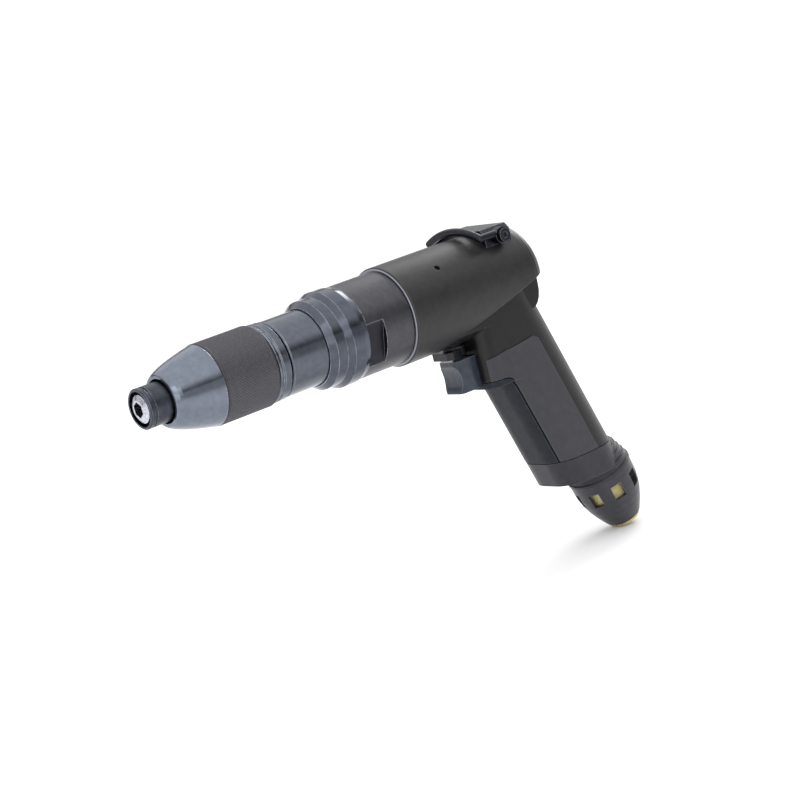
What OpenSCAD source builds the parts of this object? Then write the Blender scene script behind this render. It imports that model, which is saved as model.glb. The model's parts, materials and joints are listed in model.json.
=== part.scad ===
// Pneumatic pistol screwdriver with a quick-change bit chuck, a ball clutch that shuts
// off the air, a two-stage planetary gear train and a vane motor.
// X runs along the barrel from the mouth of the bit socket to the rear cover.
// Z points up and the left hand side of the operator is -Y.

/* [Bit chuck] */
// Width across the flats of the hexagon socket
hex_flats = 6.35; // [6:0.05:6.6]
// Depth of the hexagon socket
hex_depth = 22; // [19:0.5:24]
// Diameter of the front of the spindle
spindle_d = 13; // [12.6:0.1:13.4]
// Outer diameter of the sliding sleeve
sleeve_d = 18.6; // [18.4:0.1:20]
// Length of the sliding sleeve
sleeve_len = 24; // [22:0.5:25]
// Travel of the sliding sleeve
sleeve_travel = 4; // [3.6:0.1:4.4]
// Diameter of each locking ball
ball_d = 4; // [3.8:0.05:4.1]

/* [Barrel] */
// Length of chuck that stands out of the nose
chuck_reach = 12; // [10:0.5:13]
// Length of the rounded nose
nose_len = 22; // [20:0.5:27]
// Diameter of the nose at its mouth
nose_mouth_d = 22.8; // [22.4:0.1:25]
// Diameter of the nose at its rear
nose_d = 37.6; // [37:0.2:39]
// Diameter of the torque sleeve
torque_d = 38; // [37.6:0.2:42]
// Length of the torque sleeve
torque_len = 28.2; // [26:0.2:32]
// Diameter of the lock ring
lock_d = 36.6; // [36:0.2:38.4]
// Length of the lock ring
lock_len = 7.5; // [6:0.1:9]
// Diameter of the gear case
gear_case_d = 35.8; // [35.2:0.1:36.6]
// Length of gear case that shows
gear_case_len = 20; // [18:0.2:21]
// Diameter of the front land of the coupling collar
collar_step_d = 42; // [41:0.2:43]
// Largest diameter of the coupling collar
collar_d = 45.8; // [44.6:0.2:47]
// Length of the coupling collar
collar_len = 20.3; // [19:0.1:24]
// Diameter of the motor casing
casing_d = 44.6; // [44:0.1:45]
// Length of motor casing that shows
casing_len = 26; // [22:0.5:30]
// Width across the wrench flats
wrench_flats = 39.4; // [38.6:0.1:41]
// Length of the wrench flats
wrench_len = 9.5; // [7:0.5:12]
// Angle of the wrench flats below the side of the barrel
wrench_turn = 18; // [-30:1:30]

/* [Clutch] */
// Length of the clutch spring
clutch_spring_len = 16; // [15:0.25:18]
// Wire diameter of the clutch spring
clutch_wire_d = 2.2; // [1.8:0.1:2.4]
// Turns of the clutch spring
clutch_turns = 5; // [4:0.5:6]
// Diameter of each clutch ball
clutch_ball_d = 5; // [4.6:0.1:5.4]
// Number of clutch balls
clutch_ball_n = 3; // [3:1:6]
// Lift of the driven cam when the clutch lets go
clutch_lift = 2; // [1.6:0.1:2.2]
// Travel of the adjusting nut
nut_travel = 3; // [2:0.25:3.5]

/* [Gear train] */
// Gear module
gear_module = 0.65; // [0.6:0.01:0.66]
// Teeth of each sun gear
sun_teeth = 12; // [12:3:12]
// Teeth of each planet gear
planet_teeth = 15; // [12:3:15]
// Width of each planet gear
planet_w = 6.6; // [6:0.1:7]
// Backlash at the pitch circle
backlash = 0.1; // [0.08:0.01:0.16]

/* [Air motor] */
// Diameter of the rotor
rotor_d = 25.2; // [24:0.1:25.3]
// Length of the rotor
rotor_len = 49.2; // [46:0.2:52]
// Number of vanes
vane_n = 5; // [4:1:6]
// Thickness of each vane
vane_t = 1.6; // [1.2:0.1:2]
// Bore of the motor liner
liner_bore_d = 28.8; // [28.7:0.05:29]
// Distance from the rotor axis to the axis of the liner bore
eccentricity = 1.6; // [1.2:0.05:1.65]

/* [Pistol housing] */
// Diameter of the housing round the motor
shell_d = 48; // [47.2:0.2:48.2]
// Length of the housing
housing_len = 82.6; // [80:0.2:86]
// Rounding of the rear edge of the housing
rear_round = 8; // [6:0.5:9]
// Diameter of the rear cover
cover_d = 26; // [24:0.5:28]
// Width of the web between barrel and handle
web_w = 30; // [28:0.5:32]
// Distance of the front of the web ahead of the handle axis
web_reach = 17.4; // [16:0.2:19]
// Depth of the web below the underside of the housing
web_drop = 24; // [23.6:0.1:26]

/* [Handle] */
// Distance from the spindle tip to the point where handle and barrel axes meet
handle_x = 195.4; // [193:0.2:198]
// Rearward rake of the handle in degrees
rake = 18; // [15:0.5:20]
// Width of the handle
handle_w = 33; // [32:0.5:35]
// Depth of the handle from front to back
handle_depth = 41; // [40:0.5:44]
// Radius of the front corners of the handle
handle_corner = 12; // [10:0.5:12.5]
// Depth of the parting plane of the base below the barrel axis
parting_drop = 94.3; // [92:0.1:104]
// Height of the base at its toe
base_h = 13.2; // [12:0.2:15]
// Thickness of the front grip
front_grip_t = 2.9; // [2.2:0.1:3]
// Thickness of each side panel
panel_t = 3.6; // [3:0.1:4]
// Distance of the rear edge of each side panel behind the handle axis
panel_rear = 4.2; // [2:0.2:6]
// Depth of the rear top corner of each side panel below the barrel axis
panel_top = 30; // [28.5:0.5:33]

/* [Trigger and reverse lever] */
// Depth of the trigger axis below the underside of the housing
trigger_drop = 14.5; // [14.3:0.05:14.7]
// Height of the trigger button
trigger_h = 15.6; // [14:0.1:15.8]
// Width of the trigger button
trigger_w = 14; // [12:0.5:16]
// Length of trigger button that stands out of the web
trigger_reach = 12.5; // [11:0.25:14]
// Travel of the trigger
trigger_travel = 7; // [5:0.25:7.5]
// Thickness of the reverse lever
lever_t = 4.8; // [4:0.1:4.9]
// Length of the reverse lever ahead of its pin
lever_reach = 9.5; // [8:0.25:11]
// Width of the reverse lever at its front
lever_w = 15; // [12:0.5:17]

/* [Air inlet and exhaust] */
// Distance of the inlet axis behind the handle axis
inlet_offset = 9.7; // [9:0.1:10.2]
// Largest diameter of the exhaust deflector
dome_d = 33; // [32:0.2:34]
// Length of the exhaust deflector
dome_len = 28.2; // [26:0.2:31]
// Number of exhaust windows
window_n = 8; // [6:1:9]
// Width of each exhaust window
window_w = 6; // [4:0.1:6.4]
// Length of each exhaust window
window_len = 8; // [6:0.1:9]
// Bore of the threaded air inlet
inlet_bore_d = 11.44; // [10:0.02:12]
// Length of the inlet thread
inlet_len = 12; // [10:0.5:14]

/* [Suspension bail] */
// Height of the arch above its ends
arch_h = 4.6; // [4.2:0.1:7]
// Diameter of the bail wire
bail_wire_d = 3.6; // [3:0.1:4]
// Distance from the bail pivot forward to the arch
bail_reach = 12.5; // [12:0.25:16]
// Length of the bracket along the barrel
bracket_len = 16; // [14:0.5:17]

/* [Hidden] */
$fn = 64;

// Overrun of every cut past the face that it opens
over = 1;
// Radial clearance of parts that turn or slide in each other, and of seats
fit = 0.05;
// Radial clearance of pressed seats
seat_fit = 0.01;
// Gap between faces that pass each other
gap = 0.3;
// Room left round parts that must stay clear
clear = 1;
// Bevel on turned edges
bevel = 0.6;

// Chuck
spindle_r = spindle_d / 2;
cone_depth = 1.2;
hex_r = hex_flats / 2 / cos(30);
sleeve_r = sleeve_d / 2;
sleeve_x = 0.6;
lip_len = 2.2;
lip_groove = 1.2;
lip_depth = 0.7;
ball_back = 9.5;
ball_r = ball_d / 2;
ball_x = hex_depth - ball_back;
ball_ring_r = spindle_r - fit - ball_r;
land_x = ball_x - sleeve_travel / 2 - bevel;
land_len = sleeve_travel / 2 + 2 * bevel + ball_r;
spring_wire_d = 1.1;
spring_play = 0.45;
spring_bore_r = spindle_r + spring_wire_d + spring_play;
ring_w = 1;
ring_depth = 0.5;
ring_r = spring_bore_r - spring_play;
flange_x = sleeve_x + sleeve_len - gap;
flange_w = 2;
journal_r = 5;

// Stations along the barrel
nose_end = chuck_reach + nose_len;
torque_x = nose_end + gap;
lock_x = torque_x + torque_len + gap;
case_x = lock_x + lock_len + gap;
case_end = case_x + gear_case_len;
collar_end = case_end + collar_len;
casing_end = collar_end + casing_len;
housing_x = casing_end + gap;
rear_x = housing_x + housing_len;

// Clutch
case_front_x = flange_x + sleeve_travel + gap + bevel;
case_front_t = 1.2;
bearing_x = case_front_x + case_front_t;
bearing_lip = 2;
bearing_w = 6;
spindle_bearing_r = 11;
mouth_wall = 1.2;
nose_wall = 2.6;
case_r = nose_d / 2 - nose_wall;
case_wall = 2.8;
case_bore_r = case_r - case_wall;
nut_r = case_bore_r - 2 * fit;
nut_w = 4;
nut_bore_r = journal_r + clear;
nut_x = bearing_x + bearing_w + 2 * clear;
tab_w = 5;
tab_rise = 1;
cl_spring_x = nut_x + nut_w;
washer_x = cl_spring_x + clutch_spring_len;
washer_w = 1.6;
cam_r = 12.6;
cam_x = washer_x + washer_w;
cam_w = 5.2;
pin_r = 1.2;
pin_x = cam_x + cam_w / 2;
clutch_ball_r = clutch_ball_d / 2;
pocket_depth = 1.3;
cam_gap = clutch_ball_d - 2 * pocket_depth;
drive_x = cam_x + cam_w + cam_gap;
drive_w = 4;
clutch_ring_r = 9;
pilot_r = 3;
pilot_len = 3;
rod_r = 1.1;
rod_bore_r = 1.35;
spindle_end = drive_x - clear;

// Gear train
ring_teeth = sun_teeth + 2 * planet_teeth;
planet_n = 3;
pressure = 25;
addendum_share = 0.8;
dedendum_share = 1;
ring_addendum_share = 0.65;
ring_root_share = 1;
gear_axis = gear_module * (sun_teeth + planet_teeth) / 2;
planet_turn = planet_teeth % 2 == 0 ? 180 / planet_teeth : 0;
ring_turn = planet_teeth % 2 == 0 ? 180 / ring_teeth : 0;
planet_pin_r = 1.5;
pin_wall = 2.4;
plate_r = gear_axis + planet_pin_r + pin_wall;
hub_r = 5;
carrier_bearing_w = 5;
carrier_bearing_x = drive_x + drive_w + gap;
out_plate_x = carrier_bearing_x + carrier_bearing_w + gap;
plate_w = 3.2;
out_gear_x = out_plate_x + plate_w + gap;
in_plate_x = out_gear_x + planet_w + gap;
in_gear_x = in_plate_x + plate_w + gap;
gears_end = in_gear_x + planet_w + gap;
spigot_step = 1.3;
case_spigot_r = case_r - spigot_step;
case_seat_end = out_plate_x - gap;
ring_x = case_seat_end + 2 * gap;
gear_case_wall = 1.95;
ring_gear_r = gear_case_d / 2 - gear_case_wall;
case_flange_rise = 1.5;
case_flange_r = gear_case_d / 2 + case_flange_rise;
case_flange_w = 2.6;
gear_case_end = gears_end + 3 * gap;
nose_station_power = 2;
nose_swell_power = 1.2;
lock_land = 1.2;
collar_shares = [0.15, 0.41, 0.56, 0.87];

// Air motor
casing_r = casing_d / 2;
casing_wall = 2.1;
casing_bore_r = wrench_flats / 2 - casing_wall;
casing_front_r = case_flange_r;
plate_x = gear_case_end + gap;
end_plate_r = casing_bore_r - fit;
end_plate_w = 8.4;
end_bearing_r = 9.5;
end_bearing_w = 6;
shaft_r = 4;
rotor_r = rotor_d / 2;
liner_x = plate_x + end_plate_w;
rotor_x = liner_x + gap;
rotor_end = rotor_x + rotor_len;
liner_end = rotor_end + gap;
rear_plate_end = liner_end + end_plate_w;
tail_step = 0.8;
casing_tail_r = casing_r - tail_step;
casing_tail_end = rear_plate_end + gap;
vane_root_share = 0.5;

// Shut-off valve
chamber_r = 9;
chamber_x = casing_tail_end + gap;
seat_x = chamber_x + gap;
seat_w = 4.6;
seat_bore_r = 3.4;
valve_r = 5.6;
valve_w = 3;
valve_x = seat_x + seat_w + clutch_lift + gap;
valve_spring_x = valve_x + valve_w;
valve_spring_len = 14;
chamber_end = valve_spring_x + valve_spring_len;
valve_wire_d = 1.2;

// Housing and handle
shell_r = shell_d / 2;
web_depth = shell_r + web_drop;
trigger_depth = shell_r + trigger_drop;
front_chamfer = 1;
cover_r = cover_d / 2;
cover_t = 6;
cover_rise = 0.4;
cover_hole_r = 1.5;
cover_hole_share = 0.62;
side_hole_r = 1.5;
side_hole_depth = 2;
side_hole_x = 24;
side_hole_turn = 43;
handle_r = handle_w / 2;
back_u = handle_depth / 2 - handle_r;
front_u = handle_corner - handle_depth / 2;
side_v = handle_r - handle_corner;
web_x = handle_x - web_reach;
web_corner = 6;
crease_drop = 8.5;
neck_step = 0.1;
groove_w = 0.5;
grip_drop = web_depth - front_grip_t;
grip_u = handle_depth / 2 - front_grip_t;
grip_bend = 7;
grip_down = [sin(rake), -cos(rake)];
panel_fall = 4;
panel_corner = 2.2;
panel_rise = 0.4;
parting_gap = 0.5;
channel_r = 4.5;

// Trigger and throttle
trigger_x = web_x - trigger_reach;
trigger_root = 2.5;
trigger_len = trigger_reach + trigger_root;
pocket_x = trigger_x + trigger_len + trigger_travel + gap;
trigger_hollow_r = 12;
trigger_hollow = 1.9;
trigger_hollow_share = 0.06;
trigger_corner = 3;
trigger_rod_r = 2.4;
rod_root = 5;
throttle_r = 6.8;
throttle_seat_w = 7.4;
throttle_guide_share = 0.6;
throttle_x = pocket_x + throttle_seat_w + gap;
throttle_valve_r = 5.2;
throttle_valve_w = 3;
throttle_spring_x = throttle_x + throttle_valve_w;
throttle_spring_len = 12.5;
throttle_end = throttle_spring_x + throttle_spring_len;
throttle_wire_d = 0.9;
inlet_x = handle_x + (inlet_offset + trigger_depth * sin(rake)) / cos(rake);

// Reverse lever
lever_z = -shell_r - gap - lever_t;
lever_hub_r = 5.4;
lever_x = web_x - gap - lever_hub_r;
lever_step = 1.2;
lever_corner = 2.5;
lever_nose_share = 0.7;
plug_r = 4;
plug_roof = 4.6;
plug_top = chamber_r + plug_roof;
plug_slot_w = 2.4;

// Air inlet and exhaust, as depths below the barrel axis along the inlet axis
boss_rise = 0.5;
boss_r = dome_d / 2 + boss_rise;
dome_drop = 3;
dome_top = (parting_drop + base_h + inlet_offset * sin(rake)) / cos(rake) + dome_drop;
boss_end = dome_top - gap;
boss_top = (parting_drop + inlet_offset * sin(rake)) / cos(rake);
dome_r = dome_d / 2;
dome_wall = 1.8;
dome_end = dome_top + dome_len;
dome_land = 3.2;
dome_tip_r = 9.2;
bushing_r = 8;
bushing_drop = 3.2;
bushing_top = boss_top + bushing_drop;
bushing_rise = 1.2;
silencer_gap = 2.7;
silencer_r = dome_r - dome_wall - silencer_gap;
silencer_t = 2.4;
silencer_len = dome_len / 2;
silencer_root = 3;
window_mid = dome_top + dome_land + window_len / 2 + clear;
groove_depth = 0.8;
rib_n = 4;
rib_share = 0.75;
dome_power = 0.85;

// Suspension bail
wire_r = bail_wire_d / 2;
bracket_r = 17;
bracket_rise = 1.5;
bracket_top = shell_r + bracket_rise;
bracket_bevel = 2.5;
bracket_offset = 5.6;
bracket_x = handle_x + bracket_offset;
pivot_drop = 3;
pivot_z = shell_r - pivot_drop;
leg_y = bracket_r + gap + wire_r + 2 * fit;
leg_rise = 1.5;
leg_z = pivot_z + leg_rise;
eye_r = 4;
screw_r = 1.6;
screw_root = 2.7;
screw_head_r = 3.2;
screw_head_t = 1.6;
arch_r = (leg_y * leg_y + arch_h * arch_h) / 2 / arch_h;
arch_angle = asin(leg_y / arch_r);
arch_x = bracket_x - bail_reach;

// Placing
module at_x(x) { translate([x, 0, 0]) rotate([0, 90, 0]) children(); }
module rod_x(x, length, r) { at_x(x) cylinder(h = length, r = r); }
module tube_x(x, length, r, bore) {
    difference() {
        rod_x(x, length, r);
        rod_x(x - over, length + 2 * over, bore);
    }
}
// Turned form about X from points given as [station, radius]
module turned(points) {
    rotate([0, 90, 0]) rotate_extrude() polygon([for (p = points) [p[1], p[0]]]);
}
module handle_frame() { translate([handle_x, 0, 0]) rotate([0, -rake, 0]) children(); }
// Local frame of the air inlet, with its Z pointing down the handle
module inlet_frame() {
    handle_frame() translate([inlet_offset, 0, 0]) rotate([180, 0, 0]) children();
}
module around_x(n, turn = 0) {
    for (i = [0 : n - 1]) rotate([turn + i * 360 / n, 0, 0]) children();
}
// Everything below a horizontal plane at the given depth under the barrel axis
module below(depth) {
    span = 4 * handle_depth;
    translate([handle_x - span / 2, -span / 2, -depth - span]) cube([2 * span, span, span]);
}

// Wire wound along X, one unbroken tube with six sides
function coil_ring(r, wire, pitch, turn, sides) = [
    for (k = [0 : sides - 1])
        let (a = 360 * k / sides, q = r + wire * cos(a))
        [pitch * turn + wire * sin(a), q * cos(360 * turn), q * sin(360 * turn)]
];
module coil_x(x, length, outer_r, wire_d, turns) {
    sides = 6;
    steps = 14;
    wire = wire_d / 2;
    pitch = (length - wire_d) / turns;
    n = round(turns * steps);
    points = [for (i = [0 : n]) each coil_ring(outer_r - wire, wire, pitch, i / steps, sides)];
    walls = [
        for (i = [0 : n - 1], k = [0 : sides - 1])
            let (a = i * sides + k, b = i * sides + (k + 1) % sides)
            each [[a, a + sides, b], [b, a + sides, b + sides]]
    ];
    front = [for (k = [1 : sides - 2]) [0, k, k + 1]];
    back = [for (k = [1 : sides - 2]) [n * sides, n * sides + k + 1, n * sides + k]];
    translate([x + wire, 0, 0]) polyhedron(points, concat(walls, front, back));
}

// Involute flank at radius r of a gear whose base circle is base
function flank(base, r) = r <= base ? 0 : sqrt(r * r / base / base - 1) * 180 / PI - acos(base / r);
// Outline of one gear, with play shared by both flanks of each tooth
function gear_outline(teeth, tip, root, play) =
    let (
        pitch_r = gear_module * teeth / 2,
        base = pitch_r * cos(pressure),
        half = 90 / teeth - play / pitch_r * 90 / PI + flank(base, pitch_r),
        start = max(root, base),
        levels = 4
    )
    [
        for (i = [0 : teeth - 1])
            let (mid = 360 * i / teeth)
            each concat(
                [polar(root, mid - half)],
                [for (k = [0 : levels]) let (r = start + (tip - start) * k / levels)
                    polar(r, mid - half + flank(base, r))],
                [for (k = [levels : -1 : 0]) let (r = start + (tip - start) * k / levels)
                    polar(r, mid + half - flank(base, r))],
                [polar(root, mid + half)]
            )
    ];
function polar(r, a) = [r * cos(a), r * sin(a)];
module outer_gear(x, width, teeth, turn) {
    pitch_r = gear_module * teeth / 2;
    tip = pitch_r + gear_module * addendum_share;
    root = pitch_r - gear_module * dedendum_share;
    // The angle is measured from -Z, so that a tooth of a gear on the axis points down
    at_x(x) linear_extrude(width) rotate(turn) polygon(gear_outline(teeth, tip, root, backlash / 2));
}

// Barrel
module nose_cover() {
    mouth_r = nose_mouth_d / 2;
    swell = nose_d / 2 - mouth_r;
    steps = 10;
    guide_r = mouth_r - mouth_wall;
    color([0.28, 0.29, 0.33]) turned(concat(
        [for (i = [0 : steps])
            let (share = i / steps, rise = pow(share, nose_swell_power))
            [chuck_reach + nose_len * pow(share, nose_station_power), mouth_r + swell * rise]],
        [
            [nose_end, case_r + fit],
            [case_front_x - gap, case_r + fit],
            [case_front_x - gap, guide_r],
            [chuck_reach, guide_r]
        ]
    ));
}
module clutch_case() {
    slot_len = nut_w + nut_travel + 2 * gap;
    front_bore_r = spindle_bearing_r - bearing_lip;
    color([0.42, 0.42, 0.44]) difference() {
        turned([
            [case_front_x, front_bore_r],
            [case_front_x, case_r],
            [case_x - gap, case_r],
            [case_x - gap, case_spigot_r],
            [case_seat_end, case_spigot_r],
            [case_seat_end, case_bore_r],
            [bearing_x + bearing_w, case_bore_r],
            [bearing_x + bearing_w, spindle_bearing_r + seat_fit],
            [bearing_x, spindle_bearing_r + seat_fit],
            [bearing_x, front_bore_r]
        ]);
        around_x(planet_n) translate([nut_x - gap, -tab_w / 2 - fit, case_bore_r - over])
            cube([slot_len, tab_w + 2 * fit, case_r]);
    }
}
module torque_sleeve() {
    outer = torque_d / 2;
    groove_r = case_r + tab_rise + 2 * fit;
    color([0.3, 0.28, 0.28]) difference() {
        turned([
            [torque_x, case_r + fit],
            [torque_x, outer - bevel],
            [torque_x + bevel, outer],
            [torque_x + torque_len - bevel, outer],
            [torque_x + torque_len, outer - bevel],
            [torque_x + torque_len, case_r + fit]
        ]);
        rod_x(nut_x - gap, nut_w + nut_travel + 2 * gap, groove_r);
    }
}
module lock_ring() {
    outer = lock_d / 2;
    groove_x = lock_x + lock_land;
    color([0.34, 0.34, 0.37]) turned([
        [lock_x, case_r + fit],
        [lock_x, outer - bevel],
        [lock_x + bevel, outer],
        [groove_x, outer],
        [groove_x + bevel, outer - bevel],
        [groove_x + 2 * bevel, outer - bevel],
        [groove_x + 3 * bevel, outer],
        [lock_x + lock_len - 2 * bevel, outer],
        [lock_x + lock_len, outer - 2 * bevel],
        [lock_x + lock_len, case_r + fit]
    ]);
}
module gear_case() {
    outer = gear_case_d / 2;
    color([0.36, 0.36, 0.4]) turned([
        [case_x, case_spigot_r + fit],
        [case_x, outer - bevel],
        [case_x + bevel, outer],
        [gear_case_end - case_flange_w, outer],
        [gear_case_end - case_flange_w, case_flange_r],
        [gear_case_end, case_flange_r],
        [gear_case_end, ring_gear_r + seat_fit],
        [ring_x, ring_gear_r + seat_fit],
        [ring_x, case_spigot_r + fit]
    ]);
}
module ring_gear() {
    length = gears_end - ring_x;
    tip = gear_module * (ring_teeth / 2 + ring_root_share);
    root = gear_module * (ring_teeth / 2 - ring_addendum_share);
    color([0.62, 0.62, 0.64]) difference() {
        rod_x(ring_x + gap, length - gap, ring_gear_r);
        at_x(ring_x - over) linear_extrude(length + 2 * over + gap)
            rotate(ring_turn)
            polygon(gear_outline(ring_teeth, tip, root, -backlash / 2));
    }
}
module coupling_collar() {
    step_r = collar_step_d / 2;
    outer = collar_d / 2;
    bore = gear_case_d / 2 + fit;
    seat_r = case_flange_r + fit;
    color([0.38, 0.38, 0.42]) turned([
        [case_end, bore],
        [case_end, bore + bevel],
        [case_end + collar_len * collar_shares[0], step_r],
        [case_end + collar_len * collar_shares[1], step_r],
        [case_end + collar_len * collar_shares[2], outer],
        [case_end + collar_len * collar_shares[3], outer],
        [collar_end, casing_r],
        [collar_end, seat_r],
        [gear_case_end - case_flange_w - gap, seat_r],
        [gear_case_end - case_flange_w - gap, bore]
    ]);
}
module motor_casing() {
    color([0.3, 0.3, 0.34]) difference() {
        turned([
            [gear_case_end + gap, casing_bore_r],
            [gear_case_end + gap, casing_front_r],
            [collar_end + gap, casing_front_r],
            [collar_end + gap, casing_r],
            [casing_end, casing_r],
            [casing_end, casing_tail_r],
            [casing_tail_end, casing_tail_r],
            [casing_tail_end, casing_bore_r]
        ]);
        for (side = [0, 180]) rotate([wrench_turn + side, 0, 0])
            translate([collar_end, -casing_r - wrench_flats / 2, -casing_r])
            cube([wrench_len + gap, casing_r, casing_d]);
    }
}

// Bit chuck
module drive_spindle() {
    slot_len = clutch_lift + 2 * pin_r + 2 * fit;
    color([0.75, 0.76, 0.8]) difference() {
        turned([
            [0, 0],
            [0, hex_r + bevel],
            [cone_depth, spindle_r],
            [flange_x, spindle_r],
            [flange_x, spring_bore_r - 2 * fit],
            [flange_x + flange_w, spring_bore_r - 2 * fit],
            [flange_x + flange_w, journal_r],
            [spindle_end, journal_r],
            [spindle_end, pilot_r],
            [spindle_end + pilot_len, pilot_r],
            [spindle_end + pilot_len, 0]
        ]);
        at_x(-over) cylinder(h = hex_depth + over, r = hex_r, $fn = 6);
        for (side = [0, 180]) rotate([side, 0, 0]) translate([ball_x, 0, 0])
            cylinder(h = spindle_r + over, r = ball_r + fit);
        rod_x(pin_x - pin_r - clutch_lift - over, spindle_end, rod_bore_r);
        translate([pin_x - pin_r - clutch_lift - fit, -journal_r - over, -pin_r - fit])
            cube([slot_len, 2 * journal_r + 2 * over, 2 * pin_r + 2 * fit]);
        tube_x(land_x - ring_w - fit - gap, ring_w + 2 * fit, spindle_r + over, spindle_r - ring_depth);
    }
}
module chuck_sleeve() {
    tail = sleeve_x + sleeve_len;
    color([0.16, 0.16, 0.18]) turned([
        [sleeve_x, spring_bore_r],
        [sleeve_x, sleeve_r - bevel],
        [sleeve_x + bevel, sleeve_r],
        [sleeve_x + lip_len, sleeve_r],
        [sleeve_x + lip_len, sleeve_r - lip_depth],
        [sleeve_x + lip_len + lip_groove, sleeve_r - lip_depth],
        [sleeve_x + lip_len + lip_groove, sleeve_r - fit],
        [tail - bevel, sleeve_r - fit],
        [tail, sleeve_r - bevel],
        [tail, spring_bore_r],
        [land_x + land_len, spring_bore_r],
        [land_x + land_len, spindle_r + fit],
        [land_x, spindle_r + fit],
        [land_x, spring_bore_r]
    ]);
}
module chuck_ring() {
    color([0.55, 0.55, 0.58]) difference() {
        tube_x(land_x - ring_w - gap, ring_w, ring_r, spindle_r - ring_depth + fit);
        translate([land_x - ring_w - gap - over, -ring_w, 0])
            cube([ring_w + 2 * over, 2 * ring_w, ring_r + over]);
    }
}
module chuck_balls() {
    color([0.8, 0.8, 0.84])
        for (side = [-1, 1]) translate([ball_x, 0, side * ball_ring_r]) sphere(r = ball_r);
}
module chuck_spring() {
    start = land_x + land_len + fit;
    turns = 4;
    color([0.6, 0.6, 0.62])
        coil_x(start, flange_x - fit - start, spring_bore_r - spring_play / 3, spring_wire_d, turns);
}
module spindle_bearing() {
    color([0.66, 0.66, 0.68]) tube_x(bearing_x, bearing_w, spindle_bearing_r, journal_r + fit);
}

// Clutch
module adjusting_nut() {
    color([0.7, 0.6, 0.38]) difference() {
        union() {
            rod_x(nut_x, nut_w, nut_r);
            intersection() {
                rod_x(nut_x, nut_w, case_r + tab_rise);
                around_x(planet_n) translate([nut_x, -tab_w / 2, nut_bore_r + clear])
                    cube([nut_w, tab_w, case_r]);
            }
        }
        rod_x(nut_x - over, nut_w + 2 * over, nut_bore_r);
    }
}
module clutch_spring() {
    color([0.6, 0.6, 0.62])
        coil_x(cl_spring_x + fit, clutch_spring_len - 2 * fit, cam_r - clear, clutch_wire_d, clutch_turns);
}
module thrust_washer() {
    color([0.66, 0.66, 0.68]) tube_x(washer_x, washer_w - fit, cam_r, journal_r + 2 * fit);
}
module ball_pockets(n) {
    around_x(n) translate([cam_x + cam_w + cam_gap / 2, 0, clutch_ring_r]) sphere(r = clutch_ball_r + fit);
}
module clutch_cam() {
    color([0.58, 0.58, 0.6]) difference() {
        tube_x(cam_x, cam_w, cam_r, journal_r + fit);
        ball_pockets(clutch_ball_n);
        translate([pin_x, cam_r + over, 0]) rotate([90, 0, 0])
            cylinder(h = 2 * cam_r + 2 * over, r = pin_r + fit);
    }
}
module trip_pin() {
    length = 2 * cam_r - 2 * bevel;
    color([0.8, 0.8, 0.84])
        translate([pin_x, length / 2, 0]) rotate([90, 0, 0]) cylinder(h = length, r = pin_r);
}
module clutch_balls() {
    color([0.8, 0.8, 0.84]) around_x(clutch_ball_n)
        translate([cam_x + cam_w + cam_gap / 2, 0, clutch_ring_r]) sphere(r = clutch_ball_r);
}
module drive_cam() {
    color([0.5, 0.5, 0.53]) difference() {
        tube_x(drive_x, drive_w, cam_r, hub_r + fit);
        ball_pockets(clutch_ball_n);
    }
}

// Gear train
module carrier(x, pins_x) {
    rod_x(x, plate_w, plate_r);
    around_x(planet_n, 180) translate([0, 0, gear_axis]) rod_x(x, pins_x + planet_w - x, planet_pin_r);
}
module output_carrier() {
    color([0.64, 0.64, 0.66]) difference() {
        union() {
            carrier(out_plate_x, out_gear_x);
            rod_x(drive_x, out_plate_x - drive_x, hub_r);
        }
        rod_x(drive_x - over, pilot_len + over + gap, pilot_r + fit);
        rod_x(drive_x, out_gear_x, rod_bore_r);
    }
}
module carrier_bearing() {
    color([0.66, 0.66, 0.68])
        tube_x(carrier_bearing_x, carrier_bearing_w, case_bore_r - seat_fit, hub_r + fit);
}
module planet(x, index) {
    color([0.7, 0.68, 0.62]) rotate([180 + index * 360 / planet_n, 0, 0]) translate([0, 0, gear_axis])
        difference() {
            outer_gear(x, planet_w, planet_teeth, 180 + planet_turn);
            rod_x(x - over, planet_w + 2 * over, planet_pin_r + fit);
        }
}
module output_planet_1() { planet(out_gear_x, 0); }
module output_planet_2() { planet(out_gear_x, 1); }
module output_planet_3() { planet(out_gear_x, 2); }
module input_planet_1() { planet(in_gear_x, 0); }
module input_planet_2() { planet(in_gear_x, 1); }
module input_planet_3() { planet(in_gear_x, 2); }
module input_carrier() {
    color([0.64, 0.64, 0.66]) difference() {
        union() {
            carrier(in_plate_x, in_gear_x);
            outer_gear(out_gear_x, in_plate_x - out_gear_x, sun_teeth, 0);
        }
        rod_x(out_gear_x - over, in_gear_x, rod_bore_r);
    }
}

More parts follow.
